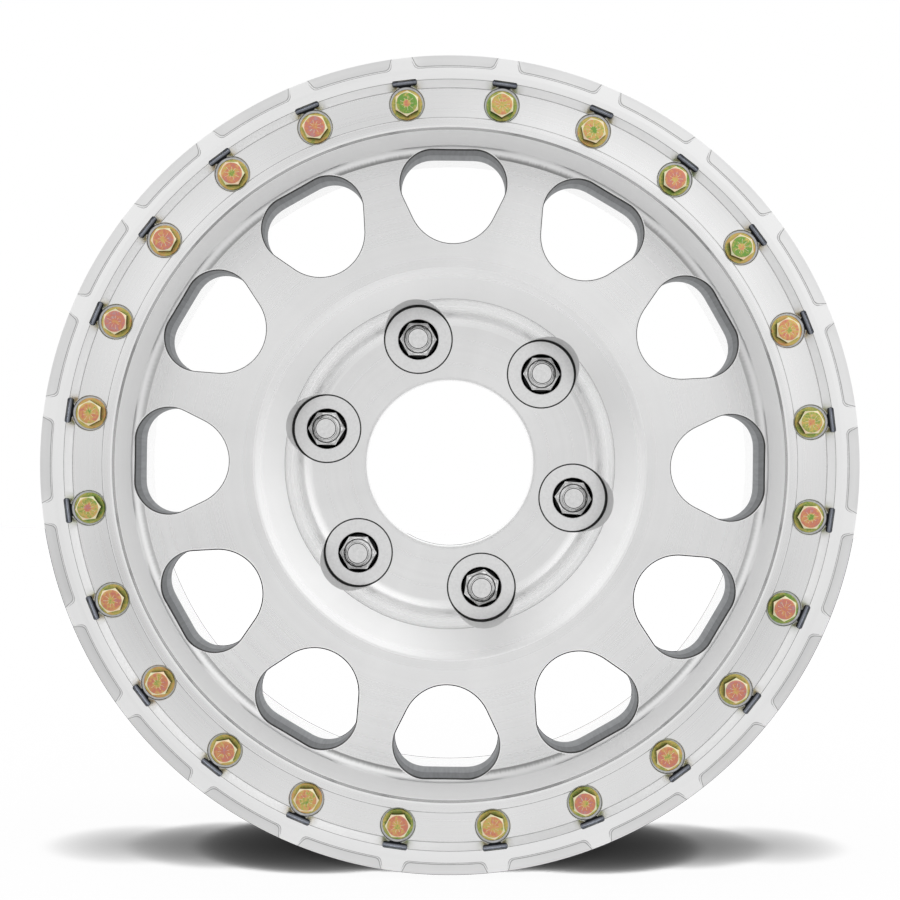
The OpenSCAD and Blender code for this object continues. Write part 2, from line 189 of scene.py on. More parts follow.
# Ring bolts and washers
bolt_count = 24
bolt_pitch = 360 / bolt_count
bolt_shank_r = 3.95
bolt_l = 25.4
bolt_af = 12.7
bolt_head_h = 5.2
bolt_crown_r = 6.0
bolt_crown_drop = 0.1
bolt_mark_count = 9
bolt_mark_start = (1.2, 2.0)
bolt_mark_end = (3.0, 4.7)
bolt_mark_w = 0.26
bolt_mark_h = 0.12
washer_r = 8.75
washer_t = 1.6
washer_edge = 0.3
washer_round = 0.4
washer_rim_w = 1.4
pocket_r = 10
pocket_lead = 0.5
pocket_z = land_t - 1
pocket_painted_shade_w = 0.3
pocket_break = 0.3
head_z = pocket_z + washer_t
hole_r = 4.4
slot_l = 14.2
slot_w = 3
slot_in_r = bolt_r + pocket_lead + pocket_r - 0.4
insert_hole_r = 5.25
insert_hole_z = -17.5
valve_hole_r = 5.65

# Camera, from the photograph: one metre in front of the ring, a little above the wheel's axis
camera_y = -(1.0 + (seat_z + crest_z) * MM)
camera_z = 0.0086
camera_roll = 0.73
focal_mm = 70.67

# Light on the floor: the fill's strength; for each pair of beams their distance from the middle, radius
# and brightness against the fill; their middle and turn, and the height and size of their lamps
floor_fill = 40
BEAMS = ((0.190, 0.055, 1.4), (0.132, 0.065, 6), (0.080, 0.075, 45), (0.030, 0.070, 60))
beam_x = 0.003
beam_y = -0.0701
beam_turn = 2.95
lamp_rise = 0.7
beam_lamp = 0.01

# How far a cutter reaches past what it cuts, and how far it stays clear of a face beside it
past = 10
blend = 0.02
crisp_angle = 28

# Scales of the finishes' noise
RING_GRAIN = 170
SECTOR_GRAIN = 4.5
FINE_GRAIN = 2600
MILLED_GRAIN = 700
WALL_GRAIN = 620

# Finishes of the forging, in the order of its material slots
FACE, LIP, FILLET, BEVEL, RECESS, PAD, BACK, BARREL, FRONT_WALL, BACK_WALL = range(10)
BORE_SHADE, SPOT, SPOT_WALL, PAINTED_SHADE, PAINTED_HIGHLIGHT = range(10, 15)

# Finishes of the bead ring, in the order of its material slots
LAND, STEP, CREST, NOTCH, POCKET, SLOT = range(6)
RING_BORE, RING_BACK, RING_PAINTED_SHADE, RING_PAINTED_HIGHLIGHT, RING_SOFT_SHADE = range(6, 11)

# Finishes of a bolt
HEAD, HEAD_HIGHLIGHT, FLANK_SHADE = range(3)

# Finishes of a nut
CHROME, CHROME_HIGHLIGHT, CHROME_SHADE = range(3)


def placed(x, y, z):
    """A point of the drawing frame, in millimetres, set upright in the row frame, in metres."""
    return Vector((x * MM, -z * MM, y * MM))


def spun_round(p, turn):
    """A point of the drawing frame turned round the wheel's axis, in degrees."""
    a = radians(turn)
    return (p[0] * cos(a) - p[1] * sin(a), p[0] * sin(a) + p[1] * cos(a), p[2])


def corner(a, b, c, f, step):
    """The points of a round of radius f at corner b, between the points a and c."""
    u = Vector((a[0] - b[0], a[1] - b[1])).normalized()
    v = Vector((c[0] - b[0], c[1] - b[1])).normalized()
    half = acos(max(-1, min(1, u.dot(v)))) / 2
    middle = Vector(b[:2]) + (u + v).normalized() * f / sin(half)
    reach = f / tan(half)
    p = Vector(b[:2]) + u * reach - middle
    q = Vector(b[:2]) + v * reach - middle
    start = atan2(p.y, p.x)
    sweep = (atan2(q.y, q.x) - start + pi) % (2 * pi) - pi
    steps = max(1, ceil(abs(degrees(sweep)) / step))
    angles = [start + sweep * i / steps for i in range(steps + 1)]
    return [(middle.x + f * cos(t), middle.y + f * sin(t)) for t in angles]


def banded(points, step=9):
    """A closed profile of (radius, height, round, finish after it) points with rounded corners, and
    the finish of each of its bands. A fifth value is the finish of the round itself."""
    line, bands = [], []
    for i, p in enumerate(points):
        before, after = points[i - 1], points[(i + 1) % len(points)]
        stretch = corner(before, p, after, p[2], step) if p[2] else [p[:2]]
        line += stretch
        bands += [p[-1]] * (len(stretch) - 1) + [p[3]]
    return line, bands


def rounded(points, step=9):
    """A closed outline of (x, y, round) points with its corners rounded."""
    return banded([(*p, 0) for p in points], step)[0]


def spin(bm, rings, segments, centre=(0, 0), turn=0, closed=True, finish=None, tint=None):
    """Skins rings of (radius, height) round an axis. Both may be functions of the angle in degrees.
    finish gives the material of each band, and tint the tint of each ring."""
    layer = bm.verts.layers.float_color.get("tint")
    loops = []
    for k, (r, z) in enumerate(rings):
        loop = []
        for i in range(segments):
            a = 360 * i / segments
            radius = r(a) if callable(r) else r
            height = z(a) if callable(z) else z
            t = radians(a + turn)
            x, y = centre[0] + radius * cos(t), centre[1] + radius * sin(t)
            v = bm.verts.new(placed(x, y, height))
            if layer is not None and tint is not None:
                v[layer] = (tint[k], tint[k], tint[k], 1)
            loop.append(v)
            if radius == 0:
                break
        loops.append(loop)
    count = len(rings) if closed else len(rings) - 1
    for k in range(count):
        low, high = loops[k], loops[(k + 1) % len(rings)]
        for i in range(segments):
            j = (i + 1) % segments
            ring = [low[i % len(low)], low[j % len(low)], high[j % len(high)], high[i % len(high)]]
            corners = list(dict.fromkeys(ring))
            if len(corners) > 2:
                face = bm.faces.new(corners)
                face.material_index = finish[k] if finish else 0
    return loops


def prism(bm, count, levels, finish, turn=0):
    """A solid between levels of count points. A level is a function of a point's number, giving
    (x, y, z), and finish gives the material of each band between two levels."""
    loops = []
    for level in levels:
        loops.append([bm.verts.new(placed(*spun_round(level(i), turn))) for i in range(count)])
    for low, high, number in zip(loops, loops[1:], finish):
        for i in range(count):
            j = (i + 1) % count
            bm.faces.new([low[i], low[j], high[j], high[i]]).material_index = number
    bm.faces.new(loops[0][::-1]).material_index = finish[0]
    bm.faces.new(loops[-1]).material_index = finish[-1]


def new_mesh(tinted=False):
    bm = bmesh.new()
    if tinted:
        bm.verts.layers.float_color.new("tint")
    return bm


def piece(name, bm, materials):
    """An object of its own from a bmesh, with flat faces kept crisp where they meet."""
    bmesh.ops.recalc_face_normals(bm, faces=bm.faces)
    mesh = bpy.data.meshes.new(name)
    bm.to_mesh(mesh)
    bm.free()
    for material in materials:
        mesh.materials.append(material)
    made = bpy.data.objects.new(name, mesh)
    bpy.context.scene.collection.objects.link(made)
    crisp(made)
    return made


def crisp(made):
    """Smooth shading, broken where two faces meet at more than a shallow angle."""
    mesh = made.data
    mesh.polygons.foreach_set("use_smooth", [True] * len(mesh.polygons))
    mesh.set_sharp_from_angle(angle=radians(crisp_angle))


def carve(target, cutter):
    """Takes the cutter's solids out of the target, whose cut faces keep the cutter's material numbers."""
    change = target.modifiers.new("carve", "BOOLEAN")
    change.operation = "DIFFERENCE"
    change.solver = "EXACT"
    change.object = cutter
    change.material_mode = "INDEX"
    graph = bpy.context.evaluated_depsgraph_get()
    done = bpy.data.meshes.new_from_object(target.evaluated_get(graph))
    target.modifiers.clear()
    target.data = done
    bpy.data.objects.remove(cutter)
    crisp(target)


# Materials

def nodes_of(name, metallic, roughness):
    material = bpy.data.materials.new(name)
    material.use_nodes = True
    tree = material.node_tree
    shader = tree.nodes["Principled BSDF"]
    shader.inputs["Metallic"].default_value = metallic
    shader.inputs["Roughness"].default_value = roughness
    return material, tree, shader


def math_node(tree, operation, a, b=None):
    node = tree.nodes.new("ShaderNodeMath")
    node.operation = operation
    for socket, value in zip(node.inputs, (a, b)):
        if value is None:
            continue
        if isinstance(value, (int, float)):
            socket.default_value = value
        else:
            tree.links.new(value, socket)
    return node.outputs[0]


def ramp(tree, value, stops, interpolation="LINEAR"):
    node = tree.nodes.new("ShaderNodeValToRGB")
    node.color_ramp.interpolation = interpolation
    marks = node.color_ramp.elements
    for mark in list(marks)[1:]:
        marks.remove(mark)
    for i, (at, colour) in enumerate(stops):
        mark = marks[0] if i == 0 else marks.new(at)
        mark.position = at
        mark.color = (*colour, 1) if isinstance(colour, tuple) else (colour, colour, colour, 1)
    tree.links.new(value, node.inputs[0])
    return node.outputs[0]


def noise(tree, scale, detail=3, vector=None, w=None):
    node = tree.nodes.new("ShaderNodeTexNoise")
    node.noise_dimensions = "1D" if w is not None else "3D"
    node.inputs["Scale"].default_value = scale
    node.inputs["Detail"].default_value = detail
    if w is not None:
        tree.links.new(w, node.inputs["W"])
    if vector is not None:
        tree.links.new(vector, node.inputs["Vector"])
    return node.outputs[0]


def object_place(tree):
    return tree.nodes.new("ShaderNodeTexCoord").outputs["Object"]


def flattened(tree, length):
    """The place on the surface seen along the wheel's axis: its direction, or its distance from it."""
    flat = tree.nodes.new("ShaderNodeVectorMath")
    flat.operation = "MULTIPLY"
    flat.inputs[1].default_value = (1, 0, 1)
    tree.links.new(object_place(tree), flat.inputs[0])
    node = tree.nodes.new("ShaderNodeVectorMath")
    node.operation = "LENGTH" if length else "NORMALIZE"
    tree.links.new(flat.outputs[0], node.inputs[0])
    return node.outputs["Value" if length else "Vector"]


def groove_place(tree):
    """A length that grows across every surface turned round the Y axis, along its section."""
    split = tree.nodes.new("ShaderNodeSeparateXYZ")
    tree.links.new(object_place(tree), split.inputs[0])
    height = math_node(tree, "MULTIPLY", split.outputs[1], 1.37)
    return math_node(tree, "ADD", flattened(tree, True), height)


def leaning(tree, lean):
    """The surface's direction turned towards the street side, as the fine steps of a faced cone or
    bore turn its gloss."""
    add = tree.nodes.new("ShaderNodeVectorMath")
    add.inputs[1].default_value = (0, -lean, 0)
    tree.links.new(tree.nodes.new("ShaderNodeNewGeometry").outputs["Normal"], add.inputs[0])
    node = tree.nodes.new("ShaderNodeVectorMath")
    node.operation = "NORMALIZE"
    tree.links.new(add.outputs[0], node.inputs[0])
    return node.outputs[0]


def bump(tree, shader, height, strength, distance, lean=0.0):
    node = tree.nodes.new("ShaderNodeBump")
    if lean:
        tree.links.new(leaning(tree, lean), node.inputs["Normal"])
    node.inputs["Strength"].default_value = strength
    node.inputs["Distance"].default_value = distance
    tree.links.new(height, node.inputs["Height"])
    tree.links.new(node.outputs[0], shader.inputs["Normal"])


def multiplied(tree, a, b, strength=None):
    node = tree.nodes.new("ShaderNodeMix")
    node.data_type = "RGBA"
    node.blend_type = "MULTIPLY"
    node.inputs["Factor"].default_value = 1
    if strength is not None:
        tree.links.new(strength, node.inputs["Factor"])
    tree.links.new(a, node.inputs["A"])
    tree.links.new(b, node.inputs["B"])
    return node.outputs["Result"]


def turned(name, low, high, roughness, anisotropic=0.7, metallic=1.0, lean=0.0):
    """Metal cut on a lathe: fine rings and soft sectors that vary in tone, and a gloss drawn out
    across the rings."""
    material, tree, shader = nodes_of(name, metallic, roughness)
    shader.inputs["Anisotropic"].default_value = anisotropic
    shader.inputs["Anisotropic Rotation"].default_value = 0.25
    along = tree.nodes.new("ShaderNodeTangent")
    along.direction_type = "RADIAL"
    along.axis = "Y"
    tree.links.new(along.outputs[0], shader.inputs["Tangent"])
    place = groove_place(tree)
    rings = noise(tree, RING_GRAIN, 5, w=place)
    sectors = noise(tree, SECTOR_GRAIN, 3, vector=flattened(tree, False))
    tone = math_node(tree, "MULTIPLY", math_node(tree, "ADD", rings, sectors), 0.5)
    tree.links.new(ramp(tree, tone, ((0.35, low), (0.65, high))), shader.inputs["Base Color"])
    gloss = ramp(tree, rings, ((0.35, roughness - 0.03), (0.65, roughness + 0.03)))
    tree.links.new(gloss, shader.inputs["Roughness"])
    bump(tree, shader, noise(tree, FINE_GRAIN, 3, w=place), 0.1, 0.00004, lean)
    return material


def painted_shade_by_radius(material, start, end, stops, jitter=0.0, strength=None):
    """Multiplies a material's tone by a painted shade that changes with the radius, from start to end in
    millimetres. jitter breaks its edge up into short marks round the wheel, and strength is a socket that
    says how much of the painted shade to take."""
    tree = material.node_tree
    shader = tree.nodes["Principled BSDF"]
    radius = math_node(tree, "DIVIDE", flattened(tree, True), MM)
    share = math_node(tree, "DIVIDE", math_node(tree, "SUBTRACT", radius, start), end - start)
    if jitter:
        marks = noise(tree, RING_GRAIN, 1, vector=flattened(tree, False))
        marks = math_node(tree, "MULTIPLY", math_node(tree, "SUBTRACT", marks, 0.5), jitter)
        share = math_node(tree, "ADD", share, marks)
    tone = shader.inputs["Base Color"].links[0].from_socket
    node = multiplied(tree, tone, ramp(tree, share, stops, "EASE"), strength)
    tree.links.new(node, shader.inputs["Base Color"])
    return material


def chatter_and_painted_shade(name, low, high, roughness):
    """The turned fillet with a painted shade: a dark band broken up into the short marks that the tool
    leaves where it meets the face, painted stronger at the wheel's top and bottom."""
    material = turned(name, low, high, roughness, 0.5, 0.85, 0.3)
    tree = material.node_tree
    split = tree.nodes.new("ShaderNodeSeparateXYZ")
    tree.links.new(flattened(tree, False), split.inputs[0])
    upright = math_node(tree, "MULTIPLY", split.outputs[2], split.outputs[2])
    share = math_node(tree, "ADD", math_node(tree, "MULTIPLY", upright, 0.5), 0.5)
    stops = ((0.34, 0.90), (0.52, 0.36), (0.60, 0.34), (0.82, 0.96))
    return painted_shade_by_radius(material, lip_r - 2 * lip_fillet, lip_r, stops, 0.10, share)


def milled(name, low, high, roughness, metallic=1.0):
    """Metal cut by a milling tool: a duller, slightly mottled face."""
    material, tree, shader = nodes_of(name, metallic, roughness)
    place = object_place(tree)
    cloud = noise(tree, MILLED_GRAIN, 4, vector=place)
    tree.links.new(ramp(tree, cloud, ((0.35, low), (0.65, high))), shader.inputs["Base Color"])
    bump(tree, shader, cloud, 0.15, 0.00005)
    return material


def ribbed(name, low, high, roughness):
    """A window's wall, with the upright lines of the tool that cut it."""
    material, tree, shader = nodes_of(name, 0.55, roughness)
    stretch = tree.nodes.new("ShaderNodeMapping")
    stretch.inputs["Scale"].default_value = (1, 0.06, 1)
    tree.links.new(object_place(tree), stretch.inputs["Vector"])
    lines = noise(tree, WALL_GRAIN, 3, vector=stretch.outputs[0])
    tree.links.new(ramp(tree, lines, ((0.35, low), (0.65, high))), shader.inputs["Base Color"])
    bump(tree, shader, lines, 0.35, 0.0001)
    return material


ZINC = (
    (0.00, (0.22, 0.42, 0.10)),
    (0.18, (0.46, 0.48, 0.14)),
    (0.34, (0.72, 0.58, 0.18)),
    (0.50, (0.80, 0.44, 0.19)),
    (0.66, (0.76, 0.30, 0.18)),
    (0.82, (0.72, 0.26, 0.22)),
    (1.00, (0.62, 0.36, 0.36)),
)


def zinc(name, spread, roughness):
    """Yellow zinc plate: a thin film that turns from green through gold to red, as the tint says, with
    clouds a few millimetres wide and a finer speckle."""
    material, tree, shader = nodes_of(name, 1.0, roughness)
    tint = tree.nodes.new("ShaderNodeAttribute")
    tint.attribute_name = "tint"
    place = object_place(tree)
    cloud = math_node(tree, "ADD", noise(tree, 210, 2, vector=place), noise(tree, 900, 2, vector=place))
    shift = math_node(tree, "MULTIPLY", math_node(tree, "SUBTRACT", cloud, 1.0), spread)
    value = math_node(tree, "ADD", tint.outputs["Fac"], shift)
    tree.links.new(ramp(tree, value, ZINC), shader.inputs["Base Color"])
    bump(tree, shader, noise(tree, 1800, 2, vector=place), 0.1, 0.00004)
    return material


def zinc_painted_light(name, first, second, roughness):
    """The same plate as a painted highlight or a painted shade, between two colours."""
    material, tree, shader = nodes_of(name, 1.0, roughness)
    cloud = noise(tree, 240, 3, vector=object_place(tree))
    tree.links.new(ramp(tree, cloud, ((0.35, first), (0.65, second))), shader.inputs["Base Color"])
    return material


def chrome(name, low, high, roughness=0.14, metallic=1.0):
    """Chrome plate with a faint haze."""
    material, tree, shader = nodes_of(name, metallic, roughness)
    haze = noise(tree, 420, 3, vector=object_place(tree))
    tree.links.new(ramp(tree, haze, ((0.3, low), (0.7, high))), shader.inputs["Base Color"])
    gloss = ramp(tree, haze, ((0.3, roughness - 0.03), (0.7, roughness + 0.03)))
    tree.links.new(gloss, shader.inputs["Roughness"])
    return material


# The forging

def face_profile():
    # The rounds at the lip's and bevel's edges and the bore's chamfer carry a painted highlight; the round
    # at the recess's edge is a dark painted shade line.
    return [
        (bead_r, seat_z - shoulder_chamfer, 0, FACE),
        (bead_r - shoulder_chamfer, seat_z, 0, FACE),
        (pilot_r, seat_z, 0, FACE),
        (pilot_r, seat_z + pilot_h, edge, FACE),
        (lip_r, seat_z + pilot_h, edge, LIP, PAINTED_HIGHLIGHT),
        (lip_r, face_z, lip_fillet, FACE, FILLET),
        (bevel_r, bevel_z, 2 * edge, BEVEL, PAINTED_HIGHLIGHT),
        (recess_r, recess_z, edge, RECESS, PAINTED_SHADE),
        (floor_r, pad_t, recess_fillet, PAD, RECESS),
        (bore_r + bore_chamfer, pad_t, 0, PAINTED_HIGHLIGHT),
        (bore_r, pad_t - bore_chamfer, 0, BARREL),
    ]


def back_profile():
    return [
        (bore_r, bore_chamfer, 0, PAINTED_HIGHLIGHT),
        (bore_r + bore_chamfer, 0, 0, BACK),
        (pad_back_r - 3, 0, 0, BACK),
        (pad_back_r, 3, 0, BACK),
        (dish_back_r, dish_back_z, 10, BACK),
        (bevel_back_r, disc_in_back_z, 8, BACK),
        (well_in_r, disc_back_z, 5, BARREL),
        (well_in_r, disc_back_z - 8, 6, BARREL),
        (barrel_in_r, disc_back_z - 20, 8, BARREL),
        (barrel_in_r, inboard_z + seat_w + hump_w + ramp_w, 0, BARREL),
        (bead_r - flange_t, inboard_z + seat_w, 10, BARREL),
        (bead_r - flange_t, inboard_z - flange_t, 0, BACK),
        (flange_r - flange_t, inboard_z - flange_t, 3, BACK),
        (flange_r - flange_t, inboard_z - flange_w, flange_edge, BACK),
        (flange_r, inboard_z - flange_w, flange_edge, BACK),
    ]


def tyre_profile():
    return [
        (flange_r, inboard_z, 8, BACK),
        (bead_r, inboard_z, 6.5, BACK),
        (bead_r - seat_fall, inboard_z + seat_w, edge, BACK),
        (bead_r - seat_fall + hump_h, inboard_z + seat_w + hump_w / 2, 3, BACK),
        (bead_r - seat_fall - hump_h, inboard_z + seat_w + hump_w, 3, BACK),
        (barrel_r, inboard_z + seat_w + hump_w + ramp_w, 6, BACK),
        (barrel_r, disc_back_z - 20, 10, BACK),
        (well_r, disc_back_z - 8, 10, BACK),
        (well_r, face_z + 3, 8, BACK),
        (bead_r - 2, backing_z - backing_t - 2, 4, BACK),
        (bead_r, backing_z - backing_t, edge, BACK),
        (backing_r, backing_z - backing_t, flange_edge, BACK),
        (backing_r, backing_z, flange_edge, BACK),
        (bead_r, backing_z, 2, BACK),
    ]


def window_arcs(offset):
    """The window's outline, offset outwards, as (x, y) points: clockwise from the top's right end."""
    half = window_flat / 2
    rise = window_corner_y - window_nose_y
    run = hypot(half, rise)
    lean = degrees(atan2(rise, half) - acos((window_nose_r - window_corner_r) / run))
    rounds = (
        (half, window_corner_y, window_corner_r, 90, lean, 22),
        (0, window_nose_y, window_nose_r, lean, -180 - lean, 34),
        (-half, window_corner_y, window_corner_r, -180 - lean, -270, 22),
    )
    line = []
    for x, y, r, first, last, steps in rounds:
        for i in range(steps + 1):
            a = radians(first + (last - first) * i / steps)
            line.append((x + (r + offset) * cos(a), y + (r + offset) * sin(a)))
    top = [(-half + window_flat * i / 6, window_top_r + offset) for i in range(1, 6)]
    return line + top


def height_along(line, r):
    """The height at radius r of a stretch of profile whose radius only falls or only rises."""
    for (r0, z0), (r1, z1) in zip(line, line[1:]):
        if min(r0, r1) <= r <= max(r0, r1) and r0 != r1:
            return z0 + (z1 - z0) * (r - r0) / (r1 - r0)
    return line[0][1] if abs(r - line[0][0]) < abs(r - line[-1][0]) else line[-1][1]


def cut_windows(bm, face_line, back_line):
    """Cutters of the windows: walls straight through, with a dark painted shade line at their street edge,
    a break along each edge, and a shallow band beside the break on the street side; that break and band
    carry a painted highlight, the back break painted shade."""
    wall = -window_burr
    lip = wall + window_break
    wide = wall + 2 * window_break
    outlines = {d: window_arcs(d) for d in (wall, lip, wide, lip + highlight_band_w)}

    def level(d, line, rise):
        def at(i):
            x, y = outlines[d][i]
            return (x, y, height_along(line, hypot(x, y)) + rise)
        return at

    def flat_level(d, z):
        return lambda i: (*outlines[d][i], z)

    levels = [
        flat_level(wide, disc_back_z - past),
        level(wide, back_line, -window_break),
        level(wall, back_line, window_break),
        flat_level(wall, window_middle_z),
        level(wall, face_line, -window_break - window_line),
        level(wall, face_line, -window_break - highlight_band_depth),
        level(lip, face_line, -highlight_band_depth),
        level(lip + highlight_band_w, face_line, highlight_band_depth / 4),
        flat_level(lip + highlight_band_w, face_z + lip_fillet + 2),
    ]
    finish = [PAINTED_SHADE, PAINTED_SHADE, BACK_WALL, FRONT_WALL, PAINTED_SHADE, PAINTED_SHADE, PAINTED_HIGHLIGHT, PAINTED_HIGHLIGHT]
    for k in range(window_count):
        prism(bm, len(outlines[wall]), levels, finish, turn=k * 360 / window_count)


def cut_lugs(bm):
    """Stud hole, cone seat, nut mouth and spot face, with the fine groove that the spot facer leaves,
    which is wider on the side away from the hub. The holes, the groove and the foot of the spot face's wall
    are painted dark as shade, and the mouth's edge carries a painted highlight."""
    foot = spot_z - spot_groove_depth

    def groove_in(a):
        return spot_r - spot_groove_w - spot_groove_lead * max(0, cos(radians(a))) ** 2

    rings = [
        (0, -past), (stud_hole_r, -past), (stud_hole_r, stud_land), (mouth_r, mouth_z),
        (mouth_r, spot_z - 0.3), (mouth_r + 0.3, spot_z), (lambda a: groove_in(a) - 0.1, spot_z),
        (groove_in, foot), (spot_r, foot), (spot_r, spot_z + spot_shade_h), (spot_r, bevel_z), (0, bevel_z)
    ]
    finish = [BORE_SHADE, BORE_SHADE, BORE_SHADE, BORE_SHADE, PAINTED_HIGHLIGHT, SPOT, PAINTED_SHADE, PAINTED_SHADE, PAINTED_SHADE, SPOT_WALL, SPOT_WALL]
    for k in range(lug_count):
        turn = lug_turn + k * 360 / lug_count
        x, y, _ = spun_round((0, lug_r, 0), turn)
        spin(bm, rings, 96, centre=(x, y), turn=90 + turn, closed=False, finish=finish)


def cut_inserts(bm):
    rings = [
        (0, seat_z + insert_hole_z), (insert_hole_r, seat_z + insert_hole_z),
        (insert_hole_r, seat_z + past), (0, seat_z + past)
    ]
    for k in range(bolt_count):
        x, y, _ = spun_round((0, bolt_r, 0), (k + 0.5) * bolt_pitch)
        spin(bm, rings, 24, centre=(x, y), closed=False, finish=[BORE_SHADE] * 3)


def cut_valve(bm):
    steps = 32

    def ring(y):
        def at(i):
            a = 2 * pi * i / steps
            return (valve_hole_r * cos(a), y, disc_back_z / 2 + valve_hole_r * sin(a))
        return at

    prism(bm, steps, [ring(barrel_in_r - past), ring(barrel_r + past)], [BORE_SHADE], turn=lug_turn)


def strictly_along(line, first, last):
    """The stretch of a profile whose radius runs between two radii."""
    return [p for p in line if first - 0.01 <= p[0] <= last + 0.01]


def make_forging(materials):
    bm = new_mesh()
    line, bands = banded(back_profile() + tyre_profile() + face_profile())
    spin(bm, line, 360, finish=bands)
    made = piece("wheel_forging_dressed", bm, materials)
    face_line = [p for p in banded(face_profile())[0] if bevel_z - 1 <= p[1] <= face_z + lip_fillet]
    face_line = strictly_along(face_line, bevel_r, lip_r)
    back_line = [p for p in banded(back_profile())[0] if p[1] >= disc_back_z - 5]
    back_line = strictly_along(back_line, dish_back_r, well_in_r)
    cuts = new_mesh()
    cut_windows(cuts, face_line, back_line)
    cut_lugs(cuts)
    cut_inserts(cuts)
    cut_valve(cuts)
    carve(made, piece("cuts", cuts, []))
    return made


# The bead ring

def ring_profile():
    # The rounds at the bore's top, the inner rim and the crest's and ring's outer edges carry a painted
    # highlight; the rounds at the land's edges and the step's upper part a painted soft shade; the bore is
    # painted dark as shade.
    points = [
        (bead_r - 1, 0, 0, RING_BACK),
        (counterbore_r, 0, 0, RING_BACK),
        (counterbore_r, counterbore_h, 0, RING_BACK),
        (ring_bore_r, counterbore_h, 0, RING_BORE),
        (ring_bore_r, land_t + inner_rim_h, edge, LAND, RING_PAINTED_HIGHLIGHT),
        (land_in_r, land_t + inner_rim_h, edge / 2, LAND, RING_PAINTED_HIGHLIGHT),
        (land_in_r, land_t, 0.6, LAND, RING_SOFT_SHADE),
        (land_out_r, land_t, 0.6, STEP, RING_SOFT_SHADE),
        (land_out_r + step_w - 0.5, crest_z - 0.6, 0, RING_SOFT_SHADE),
        (land_out_r + step_w, crest_z, step_round / 2, CREST),
        (crest_out_r, crest_z, edge, CREST, RING_PAINTED_HIGHLIGHT),
        (ring_r, crest_z - outer_fall, edge, RING_BACK, RING_PAINTED_HIGHLIGHT),
        (ring_r, bead_step - hook_depth, step_round, RING_BACK),
        (ring_r - hook_w, bead_step - hook_depth, edge, RING_BACK),
        (ring_r - hook_w, bead_step, 0, RING_BACK),
    ]
    for i in (2, 1, 0):
        r = bead_r + 2 + (i + 0.5) * 3
        points += [(r + d, bead_step + h, 0, RING_BACK) for d, h in ((1, 0), (0, 0.6), (-1, 0))]
    return points + [(bead_r - 1, bead_step, 0, RING_BACK)]


def notch_outline(grow):
    """The outline of the low stretch between two teeth, grown by a break: round inner corners, and
    sides that lean as the teeth do."""
    lean = (tooth_w_in - tooth_w_out) / 2 / (ring_r - notch_in_r)
    near, far = notch_in_r - grow, ring_r + 4

    def side(y):
        return tooth_w_in / 2 - grow - lean * (y - notch_in_r)

    inner = degrees(atan2(side(near), near))
    outer = degrees(atan2(side(far), far))
    path = []
    steps = 16
    for i in range(steps + 1):
        a = radians(inner + (bolt_pitch - 2 * inner) * i / steps)
        path.append((near * cos(a), near * sin(a), tooth_root_r if i in (0, steps) else 0))
    for i in range(steps + 1):
        a = radians(bolt_pitch - outer - (bolt_pitch - 2 * outer) * i / steps)
        path.append((far * cos(a), far * sin(a), 0))
    return rounded(path, step=15)


def cut_notches(bm, face_line):
    line_edge = notch_line_in + 0.05
    grows = (notch_line_in, line_edge, notch_line_out, 0, 2 * notch_break)
    outlines = {grow: notch_outline(grow) for grow in grows}
    floor_z = seat_z + notch_z

    def on_face(grow, rise):
        def at(i):
            x, y = outlines[grow][i]
            return (x, y, max(height_along(face_line, hypot(x, y)) + rise, floor_z + blend))
        return at

    def flat_level(grow, z):
        return lambda i: (*outlines[grow][i], z)

    # On a notch's floor a painted soft shade line, then a band with a painted highlight along the wall's
    # foot; the break along the teeth's edges carries a painted soft shade.
    levels = [
        flat_level(notch_line_in, floor_z), flat_level(line_edge, floor_z + notch_line_rise),
        flat_level(notch_line_out, floor_z + 2 * notch_line_rise),
        flat_level(0, floor_z + 3 * notch_line_rise), on_face(0, -notch_break),
        on_face(2 * notch_break, notch_break), flat_level(2 * notch_break, seat_z + crest_z + past)
    ]
    finish = [NOTCH, RING_SOFT_SHADE, RING_PAINTED_HIGHLIGHT, NOTCH, RING_SOFT_SHADE, RING_SOFT_SHADE]
    for k in range(bolt_count):
        turn = 90 + (k + 0.5) * bolt_pitch
        prism(bm, len(outlines[0]), levels, finish, turn=turn)


def cut_bolt_seats(bm):
    """The washer pocket, with a painted shade along its foot and up its wall, and a break along its edge
    that carries a painted highlight, as do the walls above it.
    """
    foot = pocket_z - blend
    rings = [
        (0, foot), (pocket_r - pocket_painted_shade_w, foot), (pocket_r, foot), (pocket_r, land_t - pocket_break),
        (pocket_r + pocket_break, land_t), (pocket_r + pocket_break, crest_z + past), (0, crest_z + past)
    ]
    rings = [(r, z + seat_z) for r, z in rings]
    finish = [POCKET, RING_PAINTED_SHADE, RING_PAINTED_SHADE, RING_PAINTED_HIGHLIGHT, RING_PAINTED_HIGHLIGHT, RING_PAINTED_HIGHLIGHT]
    for k in range(bolt_count):
        x, y, _ = spun_round((0, bolt_r + pocket_lead, 0), (k + 0.5) * bolt_pitch)
        spin(bm, rings, 72, centre=(x, y), closed=False, finish=finish)


# Bolt holes, painted dark as shade
def cut_bolt_holes(bm):
    rings = [(0, seat_z - past), (hole_r, seat_z - past), (hole_r, seat_z + land_t), (0, seat_z + land_t)]
    for k in range(bolt_count):
        x, y, _ = spun_round((0, bolt_r, 0), (k + 0.5) * bolt_pitch)
        spin(bm, rings, 32, centre=(x, y), closed=False, finish=[RING_PAINTED_SHADE] * 3)


def cut_slots(bm):
    near, far = slot_in_r, slot_in_r + slot_w
    half = slot_l / 2
    outline = rounded([(-half, far, 1.2), (-half, near, 1.2), (half, near, 1.2), (half, far, 1.2)], step=20)
    levels = [lambda i, z=z: (*outline[i], seat_z + z) for z in (pocket_z + blend, crest_z + past)]
    for k in range(bolt_count):
        prism(bm, len(outline), levels, [SLOT], turn=(k + 0.5) * bolt_pitch)


